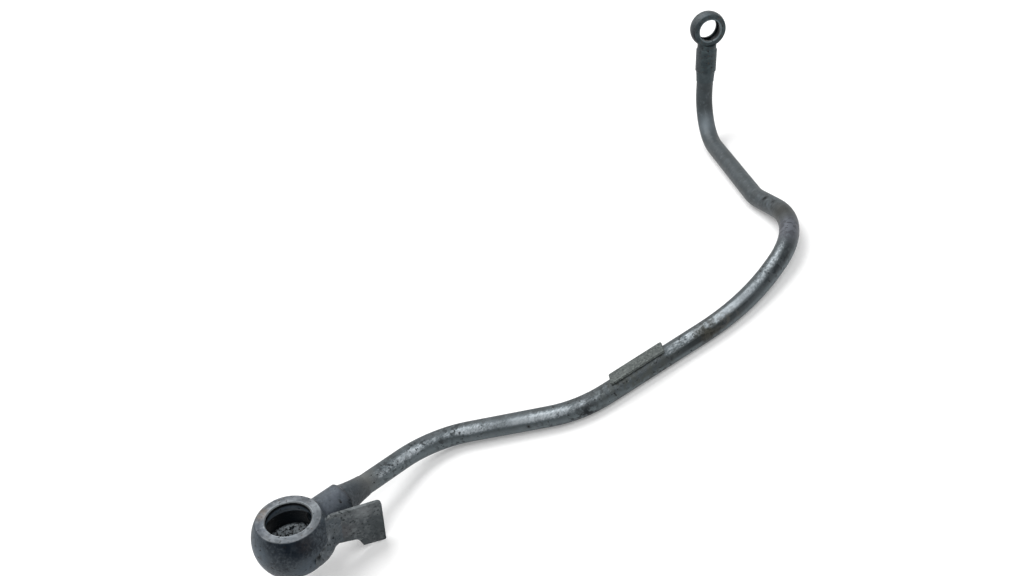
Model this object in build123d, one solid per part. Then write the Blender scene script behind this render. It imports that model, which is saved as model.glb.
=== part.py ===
from build123d import *

import os
from collections import namedtuple
from math import asin, degrees, radians, sqrt, tan

# Turbo oil feed line: a bent steel pipe with a banjo eye brazed on each end, a sheet tab
# welded to the large eye and a plain tag on the pipe. Millimetres.
# It is built as it is made, in the bending frame: the large eye's centre is the origin,
# its bore runs along Z and its neck along X. Only then is it laid on the floor.

# Pipe
PIPE_OD = 8.0
PIPE_WALL = 1.0

# Bending table, from the large eye to the small one: the straight length before each bend,
# the turn of the bend's plane about the pipe, the bend's angle and its centre-line radius.
Bend = namedtuple("Bend", "straight turn angle radius")
BENDS = [
    Bend(straight=52.0, turn=-23.0, angle=-59.0, radius=28.0),
    Bend(straight=34.0, turn=17.0, angle=33.5, radius=40.0),
    Bend(straight=43.5, turn=10.0, angle=24.5, radius=95.0),
    Bend(straight=3.0, turn=-19.5, angle=62.0, radius=40.0),
    Bend(straight=15.5, turn=-19.0, angle=-12.0, radius=28.0),
    Bend(straight=56.0, turn=-42.5, angle=-94.0, radius=20.0),
]
LAST_STRAIGHT = 31.8
FLOOR_STRAIGHT = 5  # the straight that lies on the floor, counted from 0 at the large eye
HEADING_CORNER = 4  # X points from the large eye to this corner
FLOOR_ROUNDS = 3  # the floor touches the rounded corner, and is laid again until that point stays

# Large eye, for an M16 banjo bolt
LARGE_BORE = 16.2
LARGE_FACE_OD = 22.8
LARGE_BARREL_OD = 28.2
LARGE_EDGE_CHAMFER = 0.5
LARGE_FACE_LIFT = 1.2  # how far the upper face stands above the neck's side
LARGE_FOOT = 1.5  # how much further the eye goes on the lower side than on the upper one
LARGE_GROOVE_DEPTH = 1.6
LARGE_GROOVE_WIDTH = 9.0
LARGE_BORE_CHAMFER = 0.4
LARGE_SOCKET_WALL = 2.75
LARGE_SOCKET_DEPTH = 9.0
LARGE_NECK_END = 23.4
LARGE_NECK_CHAMFER = 0.8
LARGE_NECK_BLEND = 1.5
LARGE_BRAZE_LENGTH = 9.5

# Small eye, for an M10 banjo bolt
SMALL_BORE = 10.2
SMALL_BALL_OD = 16.8
SMALL_EDGE_CHAMFER = 0.3
SMALL_HEIGHT = 6.4
SMALL_GROOVE_DEPTH = 0.7
SMALL_GROOVE_WIDTH = 3.2
SMALL_BORE_CHAMFER = 0.3
SMALL_OIL_WAY = 4.0
SMALL_WAIST_OD = 9.0
SMALL_WAIST_END = 9.4
SMALL_WAIST_CHAMFER = 0.8
SMALL_SOCKET_WALL = 0.9
SMALL_SOCKET_DEPTH = 9.0
SMALL_COLLAR_END = 20.8
SMALL_COLLAR_CHAMFER = 0.2
SMALL_BRAZE_LENGTH = 5.4
SMALL_TURN = 95.0  # the small bore's axis, turned about the pipe from the last bend's axis

# What both joints between pipe and eye share
SOCKET_CLEARANCE = 0.05
BRAZE_STEP = 0.15  # how far inside the socket's chamfered rim the braze starts
BRAZE_FOOT = 0.15  # thickness of the braze where it runs out on the pipe
BRAZE_HOLLOW = 0.12  # how far the braze sags between its ends, as a share of its height

# Tab: upright plate beside the neck, with a deeper head at its free end
TAB_THICKNESS = 1.2
TAB_TURN = -24.5  # from the neck's direction, about the large bore
TAB_OFFSET = 4.0  # from the bore's axis to the middle of the plate
TAB_REACH = 32.3
TAB_TOP = 7.7
TAB_ARM_BOTTOM = -5.9
TAB_ARM_FALL = 1.3  # the arm's lower edge falls this much from the root to the head
TAB_HEAD_BOTTOM = -11.0
TAB_HEAD_LENGTH = 8.4
TAB_HEAD_LEAN = 1.6
TAB_HEAD_FALL = 0.35  # the head's lower edge falls this much to its free end
TAB_NOTCH_RADIUS = 2.2
TAB_TOP_CORNER = 1.8
TAB_HEAD_CORNER = 0.5
TAB_LOW_CORNER = 0.8
TAB_ROOT_RADIUS = 3.4  # rounds the upper corner beside the large eye
TAB_ROOT_GAP = 0.3  # from the large eye's face edge to where that corner would be

# Weld: a bead up the outer side of the tab's root, and a wide pad low on the barrel below it
WELD_LEG = 2.3  # along the tab, from the barrel
WELD_ROOT = 3.5  # how far the bead's section runs back inside the barrel
WELD_SPREAD = 4.0  # how far it spreads from the tab there
WELD_BOTTOM = -6.4
WELD_TOP = 5.0
WELD_PAD_OD = 26.5
WELD_PAD_BELLY = 2.8  # how far the pad's side bellies out beyond its lower edge
WELD_PAD_SHIFT = 3.0  # from the large bore's axis to the pad's own axis
WELD_PAD_TURN = -45.0  # that shift's direction, from the neck's
WELD_PAD_TOP = 0.0
WELD_PAD_TOP_R = 10.8
WELD_PAD_BROW = -3.0  # height at which the pad's cone meets its skirt

# Tag: plain flat strip on top of the third straight
TAG_STRAIGHT = 2
TAG_LENGTH = 23.8
TAG_WIDTH = 6.1
TAG_THICKNESS = 0.8
TAG_CORNER = 0.8
TAG_SLANT = 2.1  # its ends are cut askew: one long edge lies this far beyond the other
TAG_START = 3.1  # from the start of that straight
TAG_TURN = -4.5  # the strip's normal, turned about the pipe from the bend's axis
TAG_GAP = 0.05

pipe_r = PIPE_OD / 2
oil_way_r = pipe_r - PIPE_WALL
socket_r = pipe_r + SOCKET_CLEARANCE


def turned(direction, axis, angle):
    """A direction turned about an axis through the origin, by degrees."""
    return direction.rotate(Axis((0, 0, 0), axis), angle)


def run_bends():
    """The corners of the centre line, and a plane at each straight's start.

    Each plane has the straight along its X and the last bend's axis along its Z.
    """
    corner = Vector(0, 0, 0)
    along = Vector(1, 0, 0)
    bend_axis = Vector(0, 0, 1)
    tangent = 0
    corners = [corner]
    straights = []
    for bend in BENDS:
        straights.append(Plane(corner + along * tangent, x_dir=along, z_dir=bend_axis))
        next_tangent = bend.radius * tan(radians(abs(bend.angle)) / 2)
        corner = corner + along * (tangent + bend.straight + next_tangent)
        corners.append(corner)
        bend_axis = turned(bend_axis, along, bend.turn)
        along = turned(along, bend_axis, bend.angle)
        tangent = next_tangent
    straights.append(Plane(corner + along * tangent, x_dir=along, z_dir=bend_axis))
    corners.append(corner + along * (tangent + LAST_STRAIGHT))
    return corners, straights


corners, straights = run_bends()

# The small eye's own frame: bore along Z, neck along X, back towards the pipe
last_along = straights[-1].x_dir
small_axis = turned(straights[-1].z_dir, last_along, SMALL_TURN)
small_frame = Plane(corners[-1], x_dir=-last_along, z_dir=small_axis)


def eye_body(face_r, belly_r, bottom, top, edge):
    """A solid eye: flat faces, chamfered by edge, and a bellied side, before its bore."""
    side_r = face_r + edge
    middle = (bottom + top) / 2
    with BuildPart() as body:
        with BuildSketch(Plane.XZ):
            with BuildLine():
                side = ThreePointArc(
                    (side_r, bottom + edge), (belly_r, middle), (side_r, top - edge)
                )
                Polyline(side @ 1, (face_r, top), (0, top), (0, bottom), (face_r, bottom), side @ 0)
            make_face()
        revolve(axis=Axis.Z)
    return body.part


def eye_bore(bore, bottom, top, groove_depth, groove_width, chamfer_size):
    """What an eye's bore takes away: the bore, its two chamfers and the oil groove."""
    bore_r = bore / 2
    half_groove = groove_width / 2
    with BuildPart() as void:
        with BuildSketch(Plane.XZ):
            with BuildLine():
                Polyline(
                    (0, bottom),
                    (bore_r + chamfer_size, bottom),
                    (bore_r, bottom + chamfer_size),
                    (bore_r, -half_groove - groove_depth / 2),
                    (bore_r + groove_depth, -half_groove),
                    (bore_r + groove_depth, half_groove),
                    (bore_r, half_groove + groove_depth / 2),
                    (bore_r, top - chamfer_size),
                    (bore_r + chamfer_size, top),
                    (0, top),
                    close=True,
                )
            make_face()
        revolve(axis=Axis.Z)
    return void.part


def turned_neck(profile):
    """A neck turned about X from a list of (distance along X, radius)."""
    start = (profile[0][0], 0)
    end = (profile[-1][0], 0)
    with BuildPart() as neck:
        with BuildSketch(Plane.XY):
            with BuildLine():
                Polyline(start, *profile, end, close=True)
            make_face()
        revolve(axis=Axis.X)
    return neck.part


def rod(radius, start, end):
    """A plain cylinder along X."""
    return Plane.YZ.offset(start) * extrude(Circle(radius), end - start)


# Large eye: forged eye and neck in one, then bored, grooved and socketed
large_socket_floor = LARGE_NECK_END - LARGE_SOCKET_DEPTH
large_neck_r = socket_r + LARGE_SOCKET_WALL
large_top = large_neck_r + LARGE_FACE_LIFT
large_bottom = -large_top - LARGE_FOOT


def make_large_blank():
    """The large eye and its neck before any bore."""
    body = eye_body(
        LARGE_FACE_OD / 2, LARGE_BARREL_OD / 2, large_bottom, large_top, LARGE_EDGE_CHAMFER
    )
    neck = turned_neck(
        [
            (0, large_neck_r),
            (LARGE_NECK_END - LARGE_NECK_CHAMFER, large_neck_r),
            (LARGE_NECK_END, large_neck_r - LARGE_NECK_CHAMFER),
        ]
    )
    blank = body + neck
    seam = blank.edges().filter_by(GeomType.BSPLINE)
    return fillet(seam, LARGE_NECK_BLEND)


def make_large_banjo(blank):
    """The finished large eye."""
    bore = eye_bore(
        LARGE_BORE,
        large_bottom,
        large_top,
        LARGE_GROOVE_DEPTH,
        LARGE_GROOVE_WIDTH,
        LARGE_BORE_CHAMFER,
    )
    oil_way = rod(oil_way_r, 0, large_socket_floor)
    socket = rod(socket_r, large_socket_floor, LARGE_NECK_END)
    return blank - bore - oil_way - socket


# Small eye: ball-shaped, with a waist and a socket collar
small_socket_floor = SMALL_COLLAR_END - SMALL_SOCKET_DEPTH
small_side_half = SMALL_HEIGHT / 2 - SMALL_EDGE_CHAMFER
small_face_r = sqrt((SMALL_BALL_OD / 2) ** 2 - small_side_half**2) - SMALL_EDGE_CHAMFER
small_collar_r = socket_r + SMALL_SOCKET_WALL


def make_small_banjo():
    """The small eye in its own frame."""
    waist_r = SMALL_WAIST_OD / 2
    half = SMALL_HEIGHT / 2
    body = eye_body(small_face_r, SMALL_BALL_OD / 2, -half, half, SMALL_EDGE_CHAMFER)
    neck = turned_neck(
        [
            (0, waist_r),
            (SMALL_WAIST_END, waist_r),
            (SMALL_WAIST_END + SMALL_WAIST_CHAMFER, small_collar_r),
            (SMALL_COLLAR_END - SMALL_COLLAR_CHAMFER, small_collar_r),
            (SMALL_COLLAR_END, small_collar_r - SMALL_COLLAR_CHAMFER),
        ]
    )
    bore = eye_bore(
        SMALL_BORE, -half, half, SMALL_GROOVE_DEPTH, SMALL_GROOVE_WIDTH, SMALL_BORE_CHAMFER
    )
    oil_way = rod(SMALL_OIL_WAY / 2, 0, small_socket_floor)
    socket = rod(socket_r, small_socket_floor, SMALL_COLLAR_END)
    banjo = body + neck - bore - oil_way - socket
    for side in (1, -1):
        spot_face = Cylinder(small_face_r, SMALL_WAIST_OD)
        banjo -= Pos(0, 0, side * (SMALL_HEIGHT + SMALL_WAIST_OD) / 2) * spot_face
    return banjo


def make_braze(start, socket_rim_r, length):
    """A ring of braze about X, from a socket's rim out along the pipe."""
    rim_r = socket_rim_r - BRAZE_STEP
    foot_r = socket_r + BRAZE_FOOT
    end = start + length
    middle_r = (rim_r + foot_r) / 2 - BRAZE_HOLLOW * (rim_r - foot_r)
    with BuildPart() as ring:
        with BuildSketch(Plane.XY):
            with BuildLine():
                crown = ThreePointArc((start, rim_r), ((start + end) / 2, middle_r), (end, foot_r))
                Polyline(crown @ 1, (end, socket_r), (start, socket_r), crown @ 0)
            make_face()
        revolve(axis=Axis.X)
    return ring.part


def make_feed_tube():
    """The pipe, from the floor of one socket to the floor of the other."""
    first = Vector(large_socket_floor, 0, 0)
    last = corners[-1] - last_along * small_socket_floor
    centre_line = FilletPolyline(
        first, *corners[1:-1], last, radius=[bend.radius for bend in BENDS]
    )
    section = Plane(first, z_dir=(1, 0, 0)) * (Circle(pipe_r) - Circle(oil_way_r))
    return sweep(section, path=centre_line)


# Tab: X of its plane runs out from the large eye, Y runs up the large bore
upright = Vector(0, 0, 1)
tab_face = Plane(
    (0, 0, 0),
    x_dir=turned(Vector(1, 0, 0), upright, TAB_TURN),
    z_dir=turned(Vector(0, -1, 0), upright, TAB_TURN),
).offset(TAB_OFFSET - TAB_THICKNESS / 2)
head_low = TAB_HEAD_BOTTOM - TAB_HEAD_FALL
head_start = TAB_REACH - TAB_HEAD_LENGTH
arm_low = TAB_ARM_BOTTOM - TAB_ARM_FALL
tab_root = LARGE_FACE_OD / 2 + TAB_ROOT_GAP


def make_locating_tab(blank):
    """The tab, cut from sheet and trimmed to the outside of the large eye."""
    with BuildPart() as tab:
        with BuildSketch(tab_face) as outline:
            with BuildLine():
                Polyline(
                    (tab_root, 0),
                    (tab_root, TAB_TOP),
                    (TAB_REACH, TAB_TOP),
                    (TAB_REACH, head_low),
                    (head_start, TAB_HEAD_BOTTOM),
                    (head_start - TAB_HEAD_LEAN, arm_low),
                    (tab_root, TAB_ARM_BOTTOM),
                    (0, TAB_ARM_BOTTOM),
                    (0, 0),
                    close=True,
                )
            make_face()
            roundings = [
                ((tab_root, TAB_TOP), TAB_ROOT_RADIUS),
                ((TAB_REACH, TAB_TOP), TAB_TOP_CORNER),
                ((TAB_REACH, head_low), TAB_LOW_CORNER),
                ((head_start, TAB_HEAD_BOTTOM), TAB_HEAD_CORNER),
                ((head_start - TAB_HEAD_LEAN, arm_low), TAB_NOTCH_RADIUS),
            ]
            for place, radius in roundings:
                fillet(outline.vertices().sort_by_distance(place)[0], radius)
        extrude(amount=TAB_THICKNESS)
    return (tab.part - blank).solids().sort_by(Axis.X)[-1]


def make_weld_bead():
    """The bead up the tab's outer side, before it is fitted to the large eye."""
    outer = TAB_OFFSET + TAB_THICKNESS / 2
    barrel_r = LARGE_BARREL_OD / 2
    root = sqrt(barrel_r**2 - outer**2)
    plan = Plane((0, 0, WELD_BOTTOM), x_dir=tab_face.x_dir, z_dir=upright)
    with BuildPart() as bead:
        with BuildSketch(plan):
            with BuildLine():
                Polyline(
                    (root + WELD_LEG, -outer),
                    (root - WELD_ROOT, -outer - WELD_SPREAD),
                    (root - WELD_ROOT, -outer),
                    close=True,
                )
            make_face()
        extrude(amount=2 * large_top)
    crown = Plane(
        tab_face.offset(TAB_THICKNESS).from_local_coords(Vector(root, WELD_TOP, 0)),
        x_dir=tab_face.x_dir,
        z_dir=upright + tab_face.z_dir,
    )
    return split(bead.part, crown, keep=Keep.BOTTOM)


def make_weld_pad():
    """The pad low on the barrel, a short cone over a bellied skirt, before it is fitted."""
    pad_r = WELD_PAD_OD / 2
    low = -large_top
    skirt_r = pad_r - WELD_PAD_BELLY
    belly_arc_r = (low**2 + WELD_PAD_BELLY**2) / (2 * WELD_PAD_BELLY)
    brow_r = pad_r - belly_arc_r + sqrt(belly_arc_r**2 - WELD_PAD_BROW**2)
    middle = (low + WELD_PAD_BROW) / 2
    middle_r = pad_r - belly_arc_r + sqrt(belly_arc_r**2 - middle**2)
    with BuildPart() as pad:
        with BuildSketch(Plane.XZ):
            with BuildLine():
                skirt = ThreePointArc((skirt_r, low), (middle_r, middle), (brow_r, WELD_PAD_BROW))
                Polyline(skirt @ 1, (WELD_PAD_TOP_R, WELD_PAD_TOP), (0, WELD_PAD_TOP), (0, low), skirt @ 0)
            make_face()
        revolve(axis=Axis.Z)
    pad_at = turned(Vector(WELD_PAD_SHIFT, 0, 0), upright, WELD_PAD_TURN)
    return split(Pos(*pad_at) * pad.part, tab_face.offset(TAB_THICKNESS), keep=Keep.TOP)


def make_id_tag():
    """The tag, flat on the pipe."""
    straight = straights[TAG_STRAIGHT]
    face = Plane(
        straight.origin + straight.x_dir * (TAG_START + TAG_LENGTH / 2),
        x_dir=straight.x_dir,
        z_dir=turned(straight.z_dir, straight.x_dir, TAG_TURN),
    ).offset(pipe_r + TAG_GAP)
    half_length = TAG_LENGTH / 2
    half_width = TAG_WIDTH / 2
    half_slant = TAG_SLANT / 2
    strip = Polygon(
        (half_slant - half_length, half_width),
        (-half_slant - half_length, -half_width),
        (half_length - half_slant, -half_width),
        (half_length + half_slant, half_width),
        align=None,
    )
    return extrude(face * fillet(strip.vertices(), TAG_CORNER), TAG_THICKNESS)


def floor_plane():
    """The floor that the line rests on: it meets the tab's low corner and one straight."""
    lying = straights[FLOOR_STRAIGHT]
    outer_face = tab_face.offset(TAB_THICKNESS)
    corner_middle = outer_face.from_local_coords(
        Vector(TAB_REACH - TAB_LOW_CORNER, head_low + TAB_LOW_CORNER, 0)
    )
    down = -outer_face.y_dir
    for _ in range(FLOOR_ROUNDS):
        in_face = down - outer_face.z_dir * down.dot(outer_face.z_dir)
        foot = corner_middle + in_face.normalized() * TAB_LOW_CORNER
        reach = foot - lying.origin
        across = reach - lying.x_dir * reach.dot(lying.x_dir)
        slope = degrees(asin(pipe_r / across.length))
        down = -lying.x_dir.cross(turned(across.normalized(), lying.x_dir, slope))
    heading = corners[HEADING_CORNER] - corners[0]
    return Plane(foot, x_dir=heading - down * heading.dot(down), z_dir=-down)


def main():
    blank = make_large_blank()
    tab = make_locating_tab(blank)
    large_rim_r = large_neck_r - LARGE_NECK_CHAMFER
    small_rim_r = small_collar_r - SMALL_COLLAR_CHAMFER
    large_braze = make_braze(LARGE_NECK_END, large_rim_r, LARGE_BRAZE_LENGTH)
    small_braze = make_braze(SMALL_COLLAR_END, small_rim_r, SMALL_BRAZE_LENGTH)
    pieces = {
        "feed_tube": make_feed_tube(),
        "large_banjo": make_large_banjo(blank),
        "small_banjo": small_frame.from_local_coords(make_small_banjo()),
        "large_end_braze": large_braze,
        "small_end_braze": small_frame.from_local_coords(small_braze),
        "locating_tab": tab,
        "tab_weld": make_weld_bead() + make_weld_pad() - blank,
        "id_tag": make_id_tag(),
    }

    # Laid on the floor, with the origin under the middle of its outline
    floor = floor_plane()
    laid = {name: floor.to_local_coords(piece) for name, piece in pieces.items()}
    box = Compound(list(laid.values())).bounding_box()
    to_origin = Location((-box.center().X, -box.center().Y, -box.min.Z))
    os.makedirs("parts", exist_ok=True)
    for name, piece in laid.items():
        export_step(to_origin * piece, f"parts/{name}.step")


main()
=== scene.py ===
# %% [markdown]
# # Turbo oil feed line
#
# The real thing is a bent steel pipe with a banjo eye brazed on each end. The CAD model already has
# every shape to size, so this lesson is mostly about finishes: dark oxidised steel, worn bright where
# hands and engine parts have rubbed it.

# %% Load the frame
from math import radians

import bmesh
import bpy
from mathutils import Matrix, Vector, noise
from mathutils.bvhtree import BVHTree


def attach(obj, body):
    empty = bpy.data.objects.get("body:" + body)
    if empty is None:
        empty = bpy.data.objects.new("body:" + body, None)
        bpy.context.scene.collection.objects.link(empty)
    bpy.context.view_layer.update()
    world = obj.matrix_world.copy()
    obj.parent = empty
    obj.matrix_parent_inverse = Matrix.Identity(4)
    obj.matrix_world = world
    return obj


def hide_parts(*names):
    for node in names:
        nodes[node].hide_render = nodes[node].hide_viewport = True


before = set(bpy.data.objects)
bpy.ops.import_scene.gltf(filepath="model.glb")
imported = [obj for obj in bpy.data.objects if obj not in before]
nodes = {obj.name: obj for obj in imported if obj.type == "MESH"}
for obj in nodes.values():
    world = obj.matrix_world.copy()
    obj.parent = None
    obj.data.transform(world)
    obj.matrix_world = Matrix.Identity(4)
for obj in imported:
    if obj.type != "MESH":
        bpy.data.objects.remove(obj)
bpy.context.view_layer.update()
print("CAD parts:", sorted(nodes))

# %% [markdown]
# ## The camera
#
# The photograph is taken from the large eye's side, looking down at about thirty degrees and rolled
# to one side. A camera can be aimed with a track-to constraint, but that leaves the roll to guess.
# Giving the directions of the picture's right and downward edges fixes all three angles at once.

# %% Place the camera
CAMERA_AT = Vector((-0.09688, -0.3657, 0.24391))
PICTURE_RIGHT = Vector((0.82261, -0.41619, -0.38744)).normalized()
PICTURE_DOWN = Vector((-0.53502, -0.33579, -0.77524)).normalized()
FOCAL_PIXELS = 1050
PICTURE_WIDTH = 1024
SENSOR_MM = 36

backward = PICTURE_DOWN.cross(PICTURE_RIGHT).normalized()
turn = Matrix((PICTURE_RIGHT, -PICTURE_DOWN, backward)).transposed()
camera_data = bpy.data.cameras.new("camera")
camera_data.sensor_width = SENSOR_MM
camera_data.lens = SENSOR_MM * FOCAL_PIXELS / PICTURE_WIDTH
camera_data.clip_start = 0.01
camera = bpy.data.objects.new("camera", camera_data)
camera.matrix_world = Matrix.Translation(CAMERA_AT) @ turn.to_4x4()
bpy.context.scene.collection.objects.link(camera)
bpy.context.scene.camera = camera
print("camera looks along", -backward)

# %% [markdown]
# ## Helpers for materials
#
# Colours are written as the sRGB hex values that a paint program shows, and shaders work in linear
# light, so one function converts them. A second adds one shader node with its settings and links,
# and a third starts an empty material.


# %% Colour and node helpers
def linear(hex_colour):
    """An sRGB hex colour such as "8a8f90" as linear red, green, blue and alpha."""
    channels = []
    for start in (0, 2, 4):
        value = int(hex_colour[start : start + 2], 16) / 255
        channels.append(value / 12.92 if value <= 0.04045 else ((value + 0.055) / 1.055) ** 2.4)
    return (*channels, 1.0)


def add_node(tree, kind, settings=None, inputs=None):
    """Adds a node. Settings are its own; an input takes a value or another node's output."""
    node = tree.nodes.new(kind)
    for name, value in (settings or {}).items():
        setattr(node, name, value)
    for name, value in (inputs or {}).items():
        if isinstance(value, bpy.types.NodeSocket):
            tree.links.new(value, node.inputs[name])
        else:
            node.inputs[name].default_value = value
    return node


def empty_material(name):
    """A material with nothing in its tree yet."""
    material = bpy.data.materials.new(name)
    material.use_nodes = True
    material.node_tree.nodes.clear()
    return material, material.node_tree


print("a middle grey, 808080, in linear light:", linear("808080"))

# %% [markdown]
# ## Masks
#
# All the finishes here come from a few masks: grains of a given size, a soft spot round a place, and a
# side that faces a given way. They could be painted into an image. Worked out at each point of the
# part, they have no seams, and a size in millimetres stays that size on every piece.

# %% Masks
MM = 0.001  # a millimetre, in Blender's metres


def grains(tree, place, size_mm, low, high, detail=3.0):
    """A mask of irregular grains about size_mm across, rising from 0 to 1 as noise goes low to high."""
    texture = add_node(
        tree, "ShaderNodeTexNoise", inputs={"Vector": place, "Scale": 1 / (size_mm * MM), "Detail": detail}
    )
    mask = add_node(
        tree, "ShaderNodeMapRange",
        inputs={"Value": texture.outputs["Fac"], "From Min": low, "From Max": high},
    )
    return mask.outputs["Result"]


def spot(tree, place, centre_mm, radius_mm):
    """A mask that is 1 at a place and fades to 0 at the radius."""
    apart = add_node(
        tree, "ShaderNodeVectorMath", {"operation": "DISTANCE"}, {0: place, 1: [c * MM for c in centre_mm]}
    )
    mask = add_node(
        tree, "ShaderNodeMapRange", {"interpolation_type": "SMOOTHSTEP"},
        {"Value": apart.outputs["Value"], "From Min": radius_mm * MM, "From Max": 0.0},
    )
    return mask.outputs["Result"]


def faces(tree, normal, direction, start, full):
    """A mask that rises from 0 to 1 as the surface turns to face a direction, by the angle's cosine."""
    towards = add_node(
        tree, "ShaderNodeVectorMath", {"operation": "DOT_PRODUCT"}, {0: normal, 1: direction}
    )
    mask = add_node(
        tree, "ShaderNodeMapRange",
        inputs={"Value": towards.outputs["Value"], "From Min": start, "From Max": full},
    )
    return mask.outputs["Result"]


def all_of(tree, *masks):
    """The product of several masks or numbers."""
    result = masks[0]
    for mask in masks[1:]:
        product = add_node(tree, "ShaderNodeMath", {"operation": "MULTIPLY"}, {0: result, 1: mask})
        result = product.outputs[0]
    return result


print("masks: grains, spot, faces, all_of")

# %% [markdown]
# ## The floor
#
# The picture has a white ground with a soft shadow: matt white paper, which shows no shine at all. A
# white floor lit hard enough to clip would also flood the object. So the floor keeps a plain colour
# and adds a glow of its own, seen by the camera and in reflections only. The glow grows away from the
# object, where the lamps no longer reach.

# %% Make the floor
FLOOR_SIDE = 12.0
NEAR_GLOW = 0.22
FAR_GLOW = 0.9
GLOW_STARTS = 0.25
GLOW_ENDS = 1.2


def seen_only(tree):
    """1 for what the camera sees, also in a reflection or through glass, and 0 for light on surfaces."""
    rays = add_node(tree, "ShaderNodeLightPath")
    seen = rays.outputs["Is Camera Ray"]
    for kind in ("Is Glossy Ray", "Is Transmission Ray"):
        either = add_node(
            tree, "ShaderNodeMath", {"operation": "MAXIMUM"}, {0: seen, 1: rays.outputs[kind]}
        )
        seen = either.outputs[0]
    return seen


half_side = FLOOR_SIDE / 2
floor_corners = [(x * half_side, y * half_side, 0) for x, y in ((-1, -1), (1, -1), (1, 1), (-1, 1))]
floor_mesh = bpy.data.meshes.new("floor")
floor_mesh.from_pydata(floor_corners, [], [(0, 1, 2, 3)])
floor = bpy.data.objects.new("floor", floor_mesh)
bpy.context.scene.collection.objects.link(floor)

paper, tree = empty_material("white_paper")
place = add_node(tree, "ShaderNodeTexCoord").outputs["Object"]
away = add_node(tree, "ShaderNodeVectorMath", {"operation": "LENGTH"}, {0: place})
glow = add_node(
    tree, "ShaderNodeMapRange", {"interpolation_type": "SMOOTHSTEP"},
    {
        "Value": away.outputs["Value"], "From Min": GLOW_STARTS, "From Max": GLOW_ENDS,
        "To Min": NEAR_GLOW, "To Max": FAR_GLOW,
    },
)
lit = add_node(tree, "ShaderNodeBsdfDiffuse", inputs={"Color": linear("e8e8e8")})
glowing = add_node(
    tree, "ShaderNodeEmission",
    inputs={"Color": (1, 1, 1, 1), "Strength": all_of(tree, seen_only(tree), glow.outputs["Result"])},
)
both = add_node(tree, "ShaderNodeAddShader", inputs={0: lit.outputs[0], 1: glowing.outputs[0]})
add_node(tree, "ShaderNodeOutputMaterial", inputs={"Surface": both.outputs[0]})
floor_mesh.materials.append(paper)
print("floor:", FLOOR_SIDE, "m square, in", paper.name)

# %% [markdown]
# ## The light
#
# The photograph shows two lights: a broad bright line on the upper middle of the pipe, from a softbox
# above the camera, and a shadow that falls towards the camera, from a lamp behind. Sun lamps could do
# both, but their shadows are hard. Each is a large square area lamp, so that its edges are soft. The
# sky is plain white, and lights the object less than the camera sees of it.

# %% Make the lamps and the sky
SKY_STRENGTH = 0.3


def softbox(name, direction, distance, side, watts):
    """A square area lamp that faces the object from a direction."""
    data = bpy.data.lights.new(name, "AREA")
    data.shape = "SQUARE"
    data.size = side
    data.energy = watts
    lamp = bpy.data.objects.new(name, data)
    lamp.location = Vector(direction).normalized() * distance
    lamp.rotation_euler = (-lamp.location).to_track_quat("-Z", "Y").to_euler()
    bpy.context.scene.collection.objects.link(lamp)


softbox("back_softbox", direction=(0.02, 0.42, 0.90), distance=2.0, side=1.7, watts=38)
softbox("front_softbox", direction=(0.10, -0.565, 0.82), distance=2.0, side=1.1, watts=16)

world = bpy.data.worlds.new("studio")
bpy.context.scene.world = world
world.use_nodes = True
tree = world.node_tree
tree.nodes.clear()
strength = add_node(
    tree, "ShaderNodeMapRange", inputs={"Value": seen_only(tree), "To Min": SKY_STRENGTH, "To Max": 1.0}
)
sky = add_node(
    tree, "ShaderNodeBackground", inputs={"Color": (1, 1, 1, 1), "Strength": strength.outputs["Result"]}
)
add_node(tree, "ShaderNodeOutputWorld", inputs={"Surface": sky.outputs[0]})
bpy.context.scene.view_settings.view_transform = "Standard"
print("lamps:", [lamp.name for lamp in bpy.data.lights])

# %% [markdown]
# ## Worn mill-scaled steel, for the pipe
#
# Cold drawn steel tube, heated for brazing, keeps a dark grey oxide scale. Where the line has rubbed
# on other parts and hands, the scale is gone in speckles and bare steel shows, so the eye gets a dark
# matt tube with a broken bright band along it.
#
# The band runs along one side, which could be marked by hand on an unwrapped tube. A direction is
# simpler: the band is where the surface faces up and out. It also lies where the softbox above the
# camera makes its highlight, so its lighter colour is partly wear and partly painted highlight. The
# pipe bends, so that direction is given for each stretch and blended into the next.

# %% Which side of the pipe is worn and carries the painted highlight
FIRST_WORN_AND_HIGHLIT_SIDE = Vector((0.43, -0.70, 0.57))  # the way the side with wear and painted highlight faces beside the large eye
LATER_WORN_AND_HIGHLIT_SIDES = (  # from x mm, to x mm, and the way the side with wear and painted highlight faces from there on
    (-82, -64, Vector((-0.37, -0.54, 0.75))),
    (-34, -16, Vector((-0.03, -0.62, 0.78))),
    (8, 28, Vector((-0.02, -0.45, 0.89))),
    (55, 80, Vector((-0.32, -0.32, 0.89))),
)
BAND_EDGE = 0.84  # the cosine between the surface and that direction at the band's edge
BAND_FULL = 0.985

pipe_steel, tree = empty_material("worn_mill_scaled_steel")
place = add_node(tree, "ShaderNodeTexCoord").outputs["Object"]
normal = add_node(tree, "ShaderNodeNewGeometry").outputs["Normal"]
axes = add_node(tree, "ShaderNodeSeparateXYZ", inputs={0: place})
facing = FIRST_WORN_AND_HIGHLIT_SIDE
for from_mm, to_mm, side in LATER_WORN_AND_HIGHLIT_SIDES:
    reached = add_node(
        tree, "ShaderNodeMapRange",
        inputs={"Value": axes.outputs["X"], "From Min": from_mm * MM, "From Max": to_mm * MM},
    )
    facing = add_node(
        tree, "ShaderNodeMix", {"data_type": "VECTOR"}, {0: reached.outputs[0], 4: facing, 5: side}
    ).outputs[1]
# the band: wear, with its lighter colour also a painted highlight from the softbox above
worn_and_highlit_band = faces(tree, normal, facing, BAND_EDGE, BAND_FULL)
print("the worn side turns", len(LATER_WORN_AND_HIGHLIT_SIDES), "times along the pipe")
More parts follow.
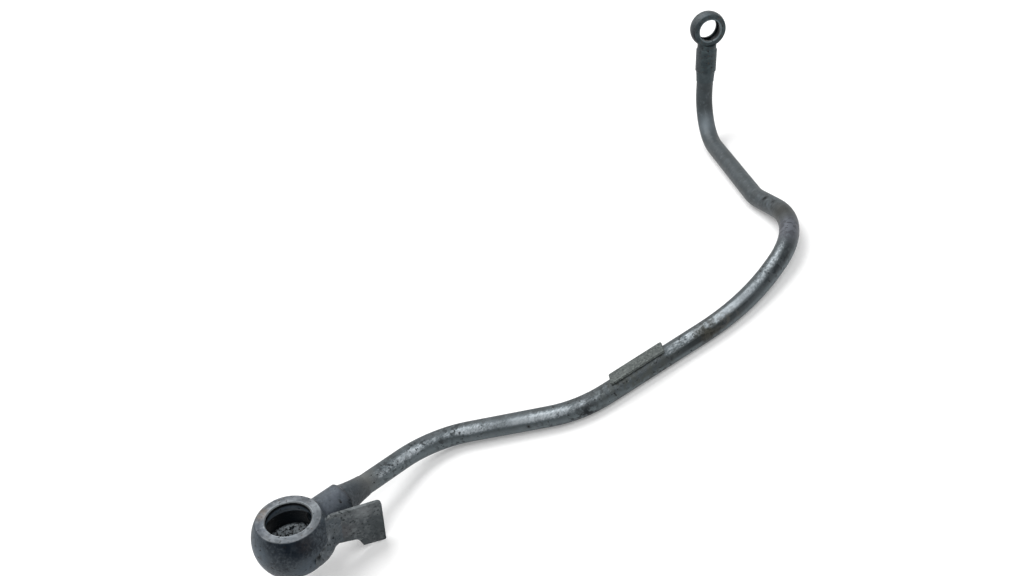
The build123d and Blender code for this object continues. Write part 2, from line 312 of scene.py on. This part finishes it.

# %% [markdown]
# ### Where the band stops
#
# The band of wear and painted highlight starts past the braze and ends before the last bends. It is
# patchy, and weak beside the tag, where a film of oil covers the pipe. A vertex group could hold all
# this, but a CAD mesh is never changed, so ramps along the part's own axes do it.

# %% Where the band stops
STRETCHES = {  # the axis a stretch is told by, and the mm where it starts and where it is full
    "past_big_bend": ("Y", -58, -38),
    "right_half": ("X", 40, 60),
    "past_braze": ("X", -108, -94),
}
PATCH_MM = 16
WEAR_BETWEEN_PATCHES = 0.55
WEAR_AT_TAG = 0.25
TAG_MM = (-1, -66, 6)
TAG_REACH_MM = 26

along_pipe = {}
for name, (axis_name, from_mm, to_mm) in STRETCHES.items():
    ramp = add_node(
        tree, "ShaderNodeMapRange",
        inputs={"Value": axes.outputs[axis_name], "From Min": from_mm * MM, "From Max": to_mm * MM},
    )
    along_pipe[name] = ramp.outputs[0]
last_bends = all_of(tree, along_pipe["past_big_bend"], along_pipe["right_half"])
before_bends = add_node(
    tree, "ShaderNodeMath", {"operation": "SUBTRACT"}, {0: 1.0, 1: last_bends}
).outputs[0]
patches = add_node(
    tree, "ShaderNodeMapRange",
    inputs={"Value": grains(tree, place, PATCH_MM, 0.36, 0.56), "To Min": WEAR_BETWEEN_PATCHES},
)
by_tag = spot(tree, place, TAG_MM, TAG_REACH_MM)
clear_of_tag = add_node(
    tree, "ShaderNodeMapRange",
    inputs={"Value": by_tag, "From Max": 0.5, "To Min": 1.0, "To Max": WEAR_AT_TAG},
)
# wear together with the painted highlight, kept to its stretches and patches
wear_and_highlight = all_of(
    tree, worn_and_highlit_band, before_bends, along_pipe["past_braze"], patches.outputs[0], clear_of_tag.outputs[0]
)
print("the band is told by", len(tree.nodes), "nodes")

# %% [markdown]
# ### Bare steel in speckles
#
# The scale goes in small streaks along the pipe, so the noise is stretched that way, and turned
# behind the big bend. Where the pipe was handled most, the streaks have run together into a polished
# stretch. Another material there would leave a hard border, so a plain number takes the place of part
# of the noise, more and more towards the stretch's middle. Under the speckles lies a smooth lighter
# coat on the band, partly polish and partly a painted sheen.

# %% Bare steel in speckles
SPECKLE_MM = 0.75  # real ones are 0.2 to 1 mm; the fine ones would not show
STREAK_LENGTH = 1.8
STREAK_TURN = radians(55)  # how far the pipe has turned behind the big bend
POLISHED = (((47, -67, 7.5), 22), ((-47, -49, 8), 18))  # each stretch's middle and radius, in mm
POLISHED_EVENNESS = 0.6
EVEN_NOISE = 0.47
WEAR_GAIN = 0.45  # how much the band adds to the noise
WORN_STARTS = 0.66  # the sum of both where bare steel starts to show
WORN_FULL = 1.05
BAND_FADES = 0.15
POLISH_AND_SHEEN_SHARE = 0.7

speckles = []
for turn in (0.0, STREAK_TURN):
    streaks = add_node(
        tree, "ShaderNodeMapping", {"vector_type": "TEXTURE"},
        {0: place, "Rotation": (0, 0, turn), "Scale": (STREAK_LENGTH, 1, 1)},
    )
    texture = add_node(
        tree, "ShaderNodeTexNoise",
        inputs={
            "Vector": streaks.outputs[0], "Scale": 1 / (SPECKLE_MM * MM), "Detail": 4.0, "Roughness": 0.7
        },
    )
    speckles.append(texture.outputs["Fac"])
speckle = add_node(
    tree, "ShaderNodeMix", inputs={0: along_pipe["right_half"], 2: speckles[0], 3: speckles[1]}
).outputs[0]
polished = add_node(
    tree, "ShaderNodeMath", {"operation": "MAXIMUM"},
    {0: spot(tree, place, *POLISHED[0]), 1: spot(tree, place, *POLISHED[1])},
).outputs[0]
broken_up = add_node(
    tree, "ShaderNodeMix", inputs={0: all_of(tree, polished, POLISHED_EVENNESS), 2: speckle, 3: EVEN_NOISE}
).outputs[0]
worn_sum = add_node(
    tree, "ShaderNodeMath", {"operation": "MULTIPLY_ADD"}, {0: wear_and_highlight, 1: WEAR_GAIN, 2: broken_up}
)
worn_most = add_node(
    tree, "ShaderNodeMapRange",
    inputs={"Value": worn_sum.outputs[0], "From Min": WORN_STARTS, "From Max": WORN_FULL},
)
on_band = add_node(tree, "ShaderNodeMapRange", inputs={"Value": wear_and_highlight, "From Max": BAND_FADES})
worn = all_of(tree, worn_most.outputs[0], on_band.outputs[0])
# a smooth lighter coat under the speckles: polish, and a painted sheen
polish_and_painted_sheen = all_of(tree, wear_and_highlight, POLISH_AND_SHEEN_SHARE)
print("speckles of", SPECKLE_MM, "mm, and", len(POLISHED), "polished stretches")

# %% [markdown]
# ### The pipe's colours
#
# A colour ramp could turn one noise into all the colours. Coats laid over each other through masks
# say more plainly what is where. Scale goes on first, then a lighter lower side, which is a painted
# reflection of the floor, and a darker side, which is partly dirt and partly painted shade. Then come
# the wear, dark flecks of scale left standing in it, and last the stains. Each stain is a soft spot
# at its place on the pipe, some broken into grains.

# %% Coats of colour
def coats(tree, first, *layers):
    """A colour, then (mask, colour) layers laid over it. A colour is sRGB hex or a node's output."""
    colour = linear(first) if isinstance(first, str) else first
    for mask, layer in layers:
        over = linear(layer) if isinstance(layer, str) else layer
        mix = add_node(tree, "ShaderNodeMix", {"data_type": "RGBA"}, {0: mask, 6: colour, 7: over})
        colour = mix.outputs[2]
    return colour


def stains(tree, place, rows):
    """Layers for coats. A row has a place and radius in mm, a share, a colour, and maybe its grains."""
    layers = []
    for centre_mm, radius_mm, share, hex_colour, *grain in rows:
        mask = all_of(tree, spot(tree, place, centre_mm, radius_mm), share)
        if grain:
            mask = all_of(tree, mask, grains(tree, place, *grain))
        layers.append((mask, hex_colour))
    return layers


print("colours: coats, stains")

# %% Coats on the pipe
LARGE_CENTRE = Vector((-136.15, -49.39, 21.58))  # of the large bore, in mm, as in the CAD model
LARGE_NECK = Vector((0.9028, 0.3568, -0.2402))
BRAZE_END = LARGE_CENTRE + LARGE_NECK * 34 + Vector((0, -3, 4))
FLOOR_REFLECTION_SIDE = Vector((0.0, -0.65, -0.76))
DIRTY_AND_SHADED_SIDE = Vector((-0.05, -0.95, 0.30))
TURNED_DIRTY_AND_SHADED_SIDE = Vector((0.50, -0.66, 0.56))
PIPE_STAINS = (
    ((31, -68.8, 5.8), 9, 1.0, "2c2c25", 3.5, 0.28, 0.54),  # burnt oil beside the polished stretch
    ((31, -68.8, 5.8), 9, 0.8, "1c1d1a", 1.3, 0.50, 0.60),
    ((40, -68, 4), 9, 0.7, "403f39", 2.2, 0.46, 0.6),  # and its paler edge
    (BRAZE_END, 10, 0.8, "565755"),  # heat colour where the braze runs out
    ((124, 58, 12), 10, 0.6, "6a747b"),  # paler scale below the small end
    ((-23.7, -65, 4), 9, 1.0, "181d20", 2.5, 0.40, 0.52),  # scale left in the hollow before the tag
    ((98, -24, 9.5), 14, 0.6, "50585e", 2.4, 0.52, 0.64),  # mottled bump behind the big bend
    ((98, -24, 9.5), 14, 0.8, "202528", 1.6, 0.50, 0.60),
    ((88, -48, 10.8), 13, 0.8, "585b64"),  # purplish heat colour on the big bend
    ((88, -48, 10.8), 13, 1.0, "2c2f36", 2.2, 0.48, 0.60),
    ((94.6, -36, 10.5), 12, 1.0, "262826"),  # olive film between the two
    ((-43.8, -53.3, 4.9), 1.4, 1.0, "0c0f10"),  # pits
    ((98.1, -20.3, 9.1), 2.4, 1.0, "0a0d0e"),
    ((97.2, -26.7, 9.8), 1.8, 0.8, "15191b"),
)

unpolished = add_node(
    tree, "ShaderNodeMath", {"operation": "SUBTRACT"}, {0: 1.0, 1: polished}
).outputs[0]
flecked = all_of(
    tree, before_bends, along_pipe["past_braze"], unpolished, grains(tree, place, 9, 0.40, 0.56)
)
# lighter on the lower side: a painted reflection of the white floor
painted_floor_reflection = all_of(tree, faces(tree, normal, FLOOR_REFLECTION_SIDE, 0.2, 0.7), before_bends, 0.9)
# darker on the side towards the camera: partly dirt and partly painted shade
dirt_and_painted_shade = all_of(tree, faces(tree, normal, DIRTY_AND_SHADED_SIDE, 0.86, 0.97), spot(tree, place, (30, -66, 4), 60))
turned_dirt_and_painted_shade = all_of(
    tree, faces(tree, normal, TURNED_DIRTY_AND_SHADED_SIDE, 0.80, 0.96), spot(tree, place, (73, -62, 5), 30),
    grains(tree, place, 4, 0.34, 0.52),
)
pits = all_of(tree, grains(tree, place, 1.5, 0.66, 0.71, 2.0), before_bends, unpolished)
pipe_colour = coats(
    tree, "343c40",
    (grains(tree, place, 6, 0.40, 0.62), "2a3134"),
    (grains(tree, place, 2.0, 0.54, 0.68), "42494d"),
    (painted_floor_reflection, "5c666a"),
    (dirt_and_painted_shade, "1d2326"),
    (turned_dirt_and_painted_shade, "1c2226"),
    (polish_and_painted_sheen, "747d82"),
    (worn, "a9b0b5"),
    (all_of(tree, flecked, grains(tree, place, 1.6, 0.53, 0.58), 0.9), "1c2225"),
    (all_of(tree, by_tag, grains(tree, place, 2.2, 0.42, 0.58), 0.75), "363a36"),
    *stains(tree, place, PIPE_STAINS),
    (pits, "1d2123"),
)
print("the pipe has", len(PIPE_STAINS), "placed stains")

# %% [markdown]
# ### The pipe's shader
#
# Bare steel is a full metal, and smoother. Scale is an oxide, hardly a metal at all, and rougher. Each
# metal here ends in the same three nodes: a fine relief, the shader and the output.
#
# A nearly black film also needs help, because the white sky's reflection turns it grey. A mask on the
# specular level would cure that, but the export drops a linked specular level. It keeps a linked
# metallic value, and a full metal reflects in its own colour, so metallic rises where a film is black.

# %% End of a material
BLACK_FILM = 0.005  # how bright a film is, in linear light, where it counts as black
GREY_FILM = 0.035
RELIEF_DEPTH = 0.12 * MM


def dulled(tree, colour, metallic):
    """A metallic value that rises to 1 where a film is nearly black, so that the sky doesn't whiten it."""
    grey = add_node(tree, "ShaderNodeRGBToBW", inputs={0: colour})
    blackness = add_node(
        tree, "ShaderNodeMapRange",
        inputs={"Value": grey.outputs[0], "From Min": GREY_FILM, "From Max": BLACK_FILM},
    )
    raised = add_node(
        tree, "ShaderNodeMath", {"operation": "MAXIMUM"}, {0: blackness.outputs[0], 1: metallic}
    )
    return raised.outputs[0]


def finish(tree, colour, metallic, roughness, specular_level, height, strength):
    """Ends a material, with a fine relief that follows the height mask."""
    relief = add_node(
        tree, "ShaderNodeBump", inputs={"Height": height, "Strength": strength, "Distance": RELIEF_DEPTH}
    )
    shader = add_node(
        tree, "ShaderNodeBsdfPrincipled",
        inputs={
            "Base Color": colour, "Metallic": dulled(tree, colour, metallic), "Roughness": roughness,
            "Specular IOR Level": specular_level, "Normal": relief.outputs[0],
        },
    )
    add_node(tree, "ShaderNodeOutputMaterial", inputs={"Surface": shader.outputs[0]})


def give(material, *node_names):
    """Gives CAD parts a material."""
    for node_name in node_names:
        mesh = nodes[node_name].data
        mesh.materials.clear()
        mesh.materials.append(material)
    print(material.name, "on", node_names)


print("relief is", RELIEF_DEPTH / MM, "mm deep")

# %% Shader of the pipe
bared = add_node(tree, "ShaderNodeMath", {"operation": "MAXIMUM"}, {0: worn, 1: polish_and_painted_sheen})
pipe_metal = add_node(
    tree, "ShaderNodeMapRange", inputs={"Value": bared.outputs[0], "To Min": 0.2, "To Max": 0.9}
)
pipe_gloss = add_node(tree, "ShaderNodeMapRange", inputs={"Value": worn, "To Min": 0.52, "To Max": 0.42})
pipe_height = add_node(
    tree, "ShaderNodeMath", {"operation": "SUBTRACT"}, {0: grains(tree, place, 0.9, 0.2, 0.8), 1: pits}
)
finish(
    tree, pipe_colour, pipe_metal.outputs[0], pipe_gloss.outputs[0], specular_level=0.42,
    height=pipe_height.outputs[0], strength=0.35,
)
give(pipe_steel, "feed_tube")

# %% [markdown]
# ## Forged steel eyes
#
# The eyes are forged, so their sides keep a dark blue-grey scale. Their faces are ground flat to seal
# against washers and show lighter, with rust specks, and the bores are dark with old oil, darkened
# further as painted shade. The zones could be picked face by face in edit mode. Here each only needs
# to know where its bore is: the distance along the bore's axis tells a face from the side, and the
# distance from the axis tells the bore, so one function serves both eyes.


# %% Zones of an eye
def eye_zones(tree, place, centre_mm, axis, neck, sizes):
    """Masks for the parts of an eye, and how far a point is from the bore's axis."""
    middle = (centre_mm + axis * sizes["middle"]) * MM
    arm = add_node(tree, "ShaderNodeVectorMath", {"operation": "SUBTRACT"}, {0: place, 1: middle})
    along = add_node(
        tree, "ShaderNodeVectorMath", {"operation": "DOT_PRODUCT"}, {0: arm.outputs[0], 1: axis}
    ).outputs["Value"]
    up = add_node(tree, "ShaderNodeVectorMath", {"operation": "SCALE"}, {0: axis, "Scale": along})
    across = add_node(
        tree, "ShaderNodeVectorMath", {"operation": "SUBTRACT"}, {0: arm.outputs[0], 1: up.outputs[0]}
    )
    radius = add_node(
        tree, "ShaderNodeVectorMath", {"operation": "LENGTH"}, {0: across.outputs[0]}
    ).outputs["Value"]
    reach = add_node(tree, "ShaderNodeMath", {"operation": "ABSOLUTE"}, {0: along}).outputs[0]
    outwards = add_node(
        tree, "ShaderNodeVectorMath", {"operation": "DOT_PRODUCT"}, {0: arm.outputs[0], 1: neck}
    ).outputs["Value"]
    edges = {  # what a zone is measured on, and the mm where it starts and where it is full
        "face": (reach, sizes["half_height"] - 0.25, sizes["half_height"] - 0.05),
        "near_face": (reach, sizes["half_height"] - 0.5, sizes["half_height"] - 0.4),
        "below_rim": (reach, sizes["half_height"] - 1.4, sizes["half_height"] - 2.2),
        "bore": (radius, sizes["groove"] + 0.25, sizes["groove"] + 0.05),
        "rim": (radius, sizes["rim"] + 0.25, sizes["rim"]),
        "low_lip": (along, -sizes["half_groove"], -sizes["half_groove"] - 0.4),
        "high_lip": (along, sizes["half_groove"], sizes["half_groove"] + 0.4),
        "seam": (outwards, sizes["seam"] - 2.0, sizes["seam"] - 1.2),
    }
    zones = {}
    for name, (measure, starts_mm, full_mm) in edges.items():
        ramp = add_node(
            tree, "ShaderNodeMapRange",
            inputs={"Value": measure, "From Min": starts_mm * MM, "From Max": full_mm * MM},
        )
        zones[name] = ramp.outputs[0]
    return zones, radius


print("eye zones: face, rim, bore, lips of its groove, seam")

# %% [markdown]
# ### The eyes' colours
#
# The side is scale in blotches, with fine flecks. The face keeps faint rings from its turning. In the
# bore, old oil and painted shade are black in the groove, and the lips above and below it show grey.
# A painted shade darkens the large eye below its face, and its neck keeps a dark line where the braze
# begins. The ring at the bore's rim is lighter, partly a worn edge and partly a painted highlight.
# One long chain of coats could do it all. Each zone's colour is made apart and laid on last, so that
# it can be judged by itself.

# %% Colours of an eye
TURNING_MM = 0.5  # real turning marks are 0.1 to 0.2 mm apart; those would not show


def eye_colour(tree, place, zones, radius, colours):
    """Dark scale, a neck seam, a grooved bore black with oil and painted shade, and ground faces."""
    rings = add_node(
        tree, "ShaderNodeTexNoise", {"noise_dimensions": "1D"},
        {"W": radius, "Scale": 1 / (TURNING_MM * MM), "Detail": 2.0},
    )
    turned = add_node(
        tree, "ShaderNodeMapRange", inputs={"Value": rings.outputs["Fac"], "From Min": 0.4, "From Max": 0.65}
    ).outputs[0]
    side_colour = coats(
        tree, colours["scale"],
        (grains(tree, place, 5.5, 0.42, 0.6), colours["blotches"]),
        (all_of(tree, grains(tree, place, 0.9, 0.48, 0.64), 0.5), colours["flecks"]),
        (all_of(tree, grains(tree, place, 1.3, 0.54, 0.66), 0.6), "1a1e21"),
        (all_of(tree, zones["seam"], grains(tree, place, 2.0, 0.32, 0.46), 0.85), colours["seam"]),
    )
    # the bore's near-black: old oil and painted shade
    bore_colour = coats(
        tree, colours["oil"],
        (all_of(tree, zones["low_lip"], grains(tree, place, 0.9, 0.40, 0.56)), colours["lip"]),
        (all_of(tree, zones["high_lip"], zones["below_rim"]), colours["ledge"]),
    )
    face_colour = coats(
        tree, colours["face"],
        (all_of(tree, turned, 0.35), colours["face_marks"]),
        (grains(tree, place, 2.4, 0.42, 0.60), colours["face_marks"]),
        (grains(tree, place, 1.0, 0.60, 0.68), "3d3733"),
    )
    return coats(
        tree, side_colour,
        (zones["bore"], bore_colour),
        (zones["face"], face_colour),
        # the ring at the rim: partly a worn edge and partly a painted highlight on the chamfer
        (all_of(tree, zones["rim"], zones["near_face"], 0.5), colours["rim"]),
    )


print("turning marks drawn", TURNING_MM, "mm apart")

# %% [markdown]
# ### Darkened patch, stains and pits
#
# Over those colours lie a darkened patch, which on the large eye is a painted shade, then the stains
# that came later at their places, and small rust pits that also dent the relief. A stain on the side
# must not run on to the ground face beside it, as a soft spot would, so each kind is kept to its own
# zone.

# %% Scaled steel with ground faces
PIT_MM = 1.3


def eye_steel(name, centre_mm, axis, neck, sizes, colours, darkened_at, side_stains, face_stains):
    """An eye's material: its colours, with a darkened patch, stains and pits over them."""
    material, tree = empty_material(name)
    place = add_node(tree, "ShaderNodeTexCoord").outputs["Object"]
    zones, radius = eye_zones(tree, place, centre_mm, axis, neck, sizes)
    off_face = add_node(
        tree, "ShaderNodeMath", {"operation": "SUBTRACT"}, {0: 1.0, 1: zones["face"]}
    ).outputs[0]
    dark_grains = add_node(
        tree, "ShaderNodeMapRange", inputs={"Value": grains(tree, place, 4, 0.30, 0.60), "To Min": 0.72}
    )
    placed = []
    for zone, rows in ((off_face, side_stains), (zones["face"], face_stains)):
        for mask, hex_colour in stains(tree, place, rows):
            placed.append((all_of(tree, mask, zone), hex_colour))
    pits = grains(tree, place, PIT_MM, 0.66, 0.71, 2.0)
    colour = coats(
        tree, eye_colour(tree, place, zones, radius, colours),
        # a darkened patch in grains; on the large eye it is a painted shade
        (all_of(tree, spot(tree, place, *darkened_at), off_face, dark_grains.outputs[0]), "0a1119"),
        *placed,
        (pits, "17191b"),
    )
    metal = add_node(
        tree, "ShaderNodeMapRange", inputs={"Value": zones["face"], "To Min": 0.15, "To Max": 0.7}
    )
    gloss = add_node(
        tree, "ShaderNodeMapRange", inputs={"Value": zones["bore"], "To Min": 0.52, "To Max": 0.40}
    )
    height = add_node(
        tree, "ShaderNodeMath", {"operation": "SUBTRACT"}, {0: grains(tree, place, 0.9, 0.3, 0.7), 1: pits}
    )
    finish(
        tree, colour, metal.outputs[0], gloss.outputs[0], specular_level=0.4,
        height=height.outputs[0], strength=0.35,
    )
    return material


print("pits are about", PIT_MM, "mm across")

# %% [markdown]
# ### The two eyes
#
# The large eye is darker on its front below the face, a painted shade, and lighter at its bottom and
# left, a painted reflection of the floor. Its face is worn unevenly. The small one is darker all over.
# Their sizes are the CAD model's, so every zone falls on its own edge.

# %% Finish the two eyes
LARGE_AXIS = Vector((0.3139, -0.1647, 0.9351))
SMALL_CENTRE = Vector((142.21, 59.53, 54.04))
SMALL_AXIS = Vector((-0.26, -0.961, -0.0947))
SMALL_NECK = Vector((-0.295, 0.1724, -0.9398))

# In mm: the middle's place along the bore from the centre, the half height, the radii of the groove
# and of the rim, half the groove's width, and how far along the neck the braze begins.
LARGE_SIZES = {
    "middle": -0.75, "half_height": 8.75, "groove": 9.75, "rim": 8.6, "half_groove": 3.0, "seam": 23.4
}
SMALL_SIZES = {
    "middle": 0.0, "half_height": 3.2, "groove": 5.9, "rim": 5.6, "half_groove": 1.6, "seam": 20.8
}


def blotchy(rows):
    """Stains whose grains are about a third of their radius."""
    return [(*row, 0.3 * row[1], 0.3, 0.5) for row in rows]


large_eye_steel = eye_steel(
    "forged_steel_large_eye", LARGE_CENTRE, LARGE_AXIS, LARGE_NECK, LARGE_SIZES,
    {
        "scale": "252e36", "blotches": "2f3941", "flecks": "4b565e", "oil": "04080c", "lip": "737b80",
        "ledge": "384753", "face": "5d6165", "face_marks": "3f4347", "rim": "7f8589", "seam": "0f1214",
    },
    # painted shade on the front of the barrel, below the face
    darkened_at=((-136.5, -60.5, 26), 18),
    side_stains=blotchy([
        # lighter at the left and at the bottom: painted light reflected from the floor
        ((-148, -53, 25), 9, 0.6, "50606d"),
        ((-136, -61, 12), 11, 0.7, "45535f"),
        ((-133, -62, 24), 5, 0.35, "2a2320"),
        ((-117, -46, 22), 9, 0.6, "4f555e"),
        # painted highlight on the shoulder between barrel and neck
        ((-120.5, -49.5, 21.5), 5, 0.45, "575d66"),
        ((-116, -47.3, 20.9), 0.9, 1.0, "0f1113"),
        ((-113.8, -43.5, 21.8), 0.8, 1.0, "14171a"),
    ]),
    face_stains=blotchy([
        ((-125, -55, 25.3), 7, 0.9, "3f4448"),
        ((-138, -58.5, 29.4), 7, 0.25, "7f858a"),
        ((-136.5, -61, 28.1), 5, 0.7, "41464c"),
        ((-123, -49, 26), 4, 0.5, "80868a"),
        ((-143, -50, 32.6), 7, 0.9, "3b4148"),
        ((-141, -44, 32.5), 5, 0.6, "574c42"),
    ]),
)
small_eye_steel = eye_steel(
    "forged_steel_small_eye", SMALL_CENTRE, SMALL_AXIS, SMALL_NECK, SMALL_SIZES,
    {
        "scale": "262f33", "blotches": "2f383b", "flecks": "41494c", "oil": "070b0d", "lip": "1c2427",
        "ledge": "283236", "face": "2b3438", "face_marks": "3a4447", "rim": "747f84", "seam": "262d31",
    },
    darkened_at=((134.5, 59, 53), 8),
    side_stains=blotchy([((141.7, 55.8, 61.4), 5, 0.6, "46535a")]),
    face_stains=blotchy([((137, 58, 57), 4, 0.6, "20282d")]),
)
give(large_eye_steel, "large_banjo")
give(small_eye_steel, "small_banjo")

# %% [markdown]
# ## Braze, tab and tag
#
# Braze that has been through the furnace is a dull grey, dark beside the socket and lighter where it
# runs out on the pipe. The tab is pressed sheet steel with a greenish brown film of old oil and dust,
# in lighter blotches, darker at its head. The tag is thin bare sheet, dulled to a matt grey. All are
# steel under a dull film, so one function makes them from their own blotches and stains.


# %% Dull films on steel
def filmed_steel(name, first, blotches, stain_rows, metallic, roughness, grain_mm):
    """Steel under a film: (size in mm, low, high, share, colour) blotches, then placed stains."""
    material, tree = empty_material(name)
    place = add_node(tree, "ShaderNodeTexCoord").outputs["Object"]
    layers = []
    for size_mm, low, high, share, hex_colour in blotches:
        layers.append((all_of(tree, grains(tree, place, size_mm, low, high), share), hex_colour))
    colour = coats(tree, first, *layers, *stains(tree, place, stain_rows))
    finish(
        tree, colour, metallic, roughness, specular_level=0.2,
        height=grains(tree, place, grain_mm, 0.2, 0.8), strength=0.4,
    )
    return material


large_braze = filmed_steel(
    "oxidised_braze", "373d42",
    [(4, 0.42, 0.60, 0.7, "44484b"), (1.2, 0.46, 0.60, 0.6, "5a5f64"), (0.9, 0.58, 0.66, 1.0, "1a1d1f")],
    [(BRAZE_END, 10, 0.7, "5c5d5c"), ((-109, -42, 19), 7, 0.7, "32393f")],
    metallic=0.25, roughness=0.55, grain_mm=1.0,
)
small_braze = filmed_steel(
    "scaled_braze", "3b4448",
    [(3, 0.42, 0.6, 0.7, "464f52"), (0.9, 0.64, 0.7, 0.7, "262c2e")],
    [],
    metallic=0.25, roughness=0.55, grain_mm=1.0,
)
tab_steel = filmed_steel(
    "oily_sheet_steel", "454a4d",
    [(5, 0.42, 0.6, 0.7, "54585a"), (1.8, 0.48, 0.62, 0.7, "6b7072"), (1.0, 0.56, 0.64, 1.0, "24292a")],
    [
        ((-111, -56, 18), 6, 0.6, "7e8284"),
        ((-108, -55, 7), 11, 0.8, "343a3c"),
        ((-106, -56, 20), 5, 0.4, "3a3f40"),
        ((-121, -55, 14), 6, 0.6, "504e50"),
        ((-122, -54, 9.5), 4, 0.5, "3d4244"),
    ],
    metallic=0.2, roughness=0.6, grain_mm=0.8,
)
tag_steel = filmed_steel(
    "dull_tag_sheet", "4f5453",
    [(4, 0.42, 0.60, 0.8, "3f4443"), (1.0, 0.50, 0.62, 0.7, "6a706d"), (0.8, 0.54, 0.64, 0.8, "2b302f")],
    [],
    metallic=0.3, roughness=0.55, grain_mm=0.6,
)
give(large_braze, "large_end_braze")
give(small_braze, "small_end_braze")
give(tab_steel, "locating_tab")
give(tag_steel, "id_tag")

# %% [markdown]
# ## The weld
#
# The tab is welded to the eye, and the weld melts both into one smooth hollow, with a row of pits at
# its toe. The CAD part has the right amount of metal but crisp edges. Bevelling them would still leave
# three separate pieces. So the weld is made again here: copies of the eye, the tab and the weld are
# fused into one skin by a voxel remesh.

# %% Fuse the weld with its neighbours
VOXEL = 0.3 * MM


def applied(piece):
    """Puts the piece's modifiers into its mesh."""
    shape = piece.evaluated_get(bpy.context.evaluated_depsgraph_get())
    mesh = bpy.data.meshes.new_from_object(shape)
    piece.modifiers.clear()
    piece.data = mesh


weld = bpy.data.objects.new("weld", bpy.data.meshes.new("weld"))
bpy.context.scene.collection.objects.link(weld)
joined = bmesh.new()
for node_name in ("large_banjo", "locating_tab", "tab_weld"):
    joined.from_mesh(nodes[node_name].data)
joined.to_mesh(weld.data)
joined.free()
fuse = weld.modifiers.new("fuse", "REMESH")
fuse.mode = "VOXEL"
fuse.voxel_size = VOXEL
applied(weld)
print("fused skin:", len(weld.data.polygons), "faces")

# %% [markdown]
# ### Cut out the joint
#
# Only the skin round the weld is wanted, because the CAD parts show everywhere else. Picking its
# faces by distance would leave a ragged border, so a box is cut out with a boolean, turned about the
# bore to where the tab stands.

# %% Cut a box round the weld
BOX_TURN = -50.0  # the box's direction round the bore, from the neck
BOX_SPAN = ((10.4, 20.5), (-12.0, 10.0), (-9.2, 7.4))  # outwards, round the eye and up, in mm
BOX_SIDES = ((0, 1, 3, 2), (4, 6, 7, 5), (0, 4, 5, 1), (2, 3, 7, 6), (0, 2, 6, 4), (1, 5, 7, 3))

outwards = Matrix.Rotation(radians(BOX_TURN), 3, LARGE_AXIS) @ LARGE_NECK
sideways = LARGE_AXIS.cross(outwards)
box_corners = []
for out in BOX_SPAN[0]:
    for side in BOX_SPAN[1]:
        for rise in BOX_SPAN[2]:
            box_corners.append((LARGE_CENTRE + outwards * out + sideways * side + LARGE_AXIS * rise) * MM)
box_mesh = bpy.data.meshes.new("weld_box")
box_mesh.from_pydata(box_corners, [], BOX_SIDES)
box = bpy.data.objects.new("weld_box", box_mesh)
bpy.context.scene.collection.objects.link(box)
cut = weld.modifiers.new("cut", "BOOLEAN")
cut.operation = "INTERSECT"
cut.solver = "EXACT"
cut.object = box
applied(weld)
bpy.data.objects.remove(box)
print("cut out:", len(weld.data.polygons), "faces")

# %% [markdown]
# ### Relax the skin
#
# Smoothing the points a few times fills the inner corner, as melted metal does. Near the weld the
# skin then stands a little proud, in low lumps. Away from the weld it is drawn inwards, so that it
# dives under the CAD parts instead of lying on them.

# %% Relax the skin and draw its borders in
RELAX_ROUNDS = 14
RELAX_SHARE = 0.5
SKIN_OUT = 0.10 * MM
SKIN_IN = -0.28 * MM
FULL_TO = 0.8 * MM
GONE_FROM = 3.2 * MM
LUMP_SIZE = 1.6 * MM
LUMP_HEIGHT = 0.09 * MM

near_weld = BVHTree.FromPolygons(
    [point.co for point in nodes["tab_weld"].data.vertices],
    [face.vertices for face in nodes["tab_weld"].data.polygons],
)
skin = bmesh.new()
skin.from_mesh(weld.data)
for _ in range(RELAX_ROUNDS):
    bmesh.ops.smooth_vert(
        skin, verts=skin.verts, factor=RELAX_SHARE, use_axis_x=True, use_axis_y=True, use_axis_z=True
    )
skin.normal_update()
for point in skin.verts:
    gap = near_weld.find_nearest(point.co)[3]
    share = min(max((GONE_FROM - gap) / (GONE_FROM - FULL_TO), 0.0), 1.0)
    lumps = noise.noise(point.co / LUMP_SIZE) * LUMP_HEIGHT * share
    point.co += point.normal * (SKIN_IN + (SKIN_OUT - SKIN_IN) * share + lumps)
for face in skin.faces:
    face.smooth = True
skin.to_mesh(weld.data)
skin.free()
print("relaxed:", len(weld.data.vertices), "points")

# %% [markdown]
# ### The weld's finish
#
# A weld bead under scale is the same dull grey as the braze, with darker pits at its toe and a
# painted highlight along the ridge above them.

# %% Finish the weld
BODY = "root"

weld_steel = filmed_steel(
    "weld_under_scale", "454c51",
    [(4, 0.42, 0.6, 0.7, "515659"), (1.2, 0.50, 0.64, 0.5, "666c71"), (0.9, 0.6, 0.66, 1.0, "15181a")],
    [
        ((-126, -58.5, 17.5), 2.2, 0.9, "15181a"),
        ((-132, -62, 16), 2.0, 0.9, "15181a"),
        ((-129, -60.5, 17), 1.4, 0.8, "15181a"),
        # painted highlight along the ridge above the pits
        ((-125.8, -57.8, 17.4), 2.4, 0.8, "7d8388"),
        ((-127.6, -59.8, 18.3), 2.2, 0.8, "7d8388"),
        ((-130.0, -61.6, 19.2), 2.2, 0.8, "7d8388"),
    ],
    metallic=0.2, roughness=0.55, grain_mm=1.0,
)
weld.data.materials.clear()
weld.data.materials.append(weld_steel)
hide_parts("tab_weld")
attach(weld, BODY)
print("weld:", len(weld.data.polygons), "faces, in", weld_steel.name)
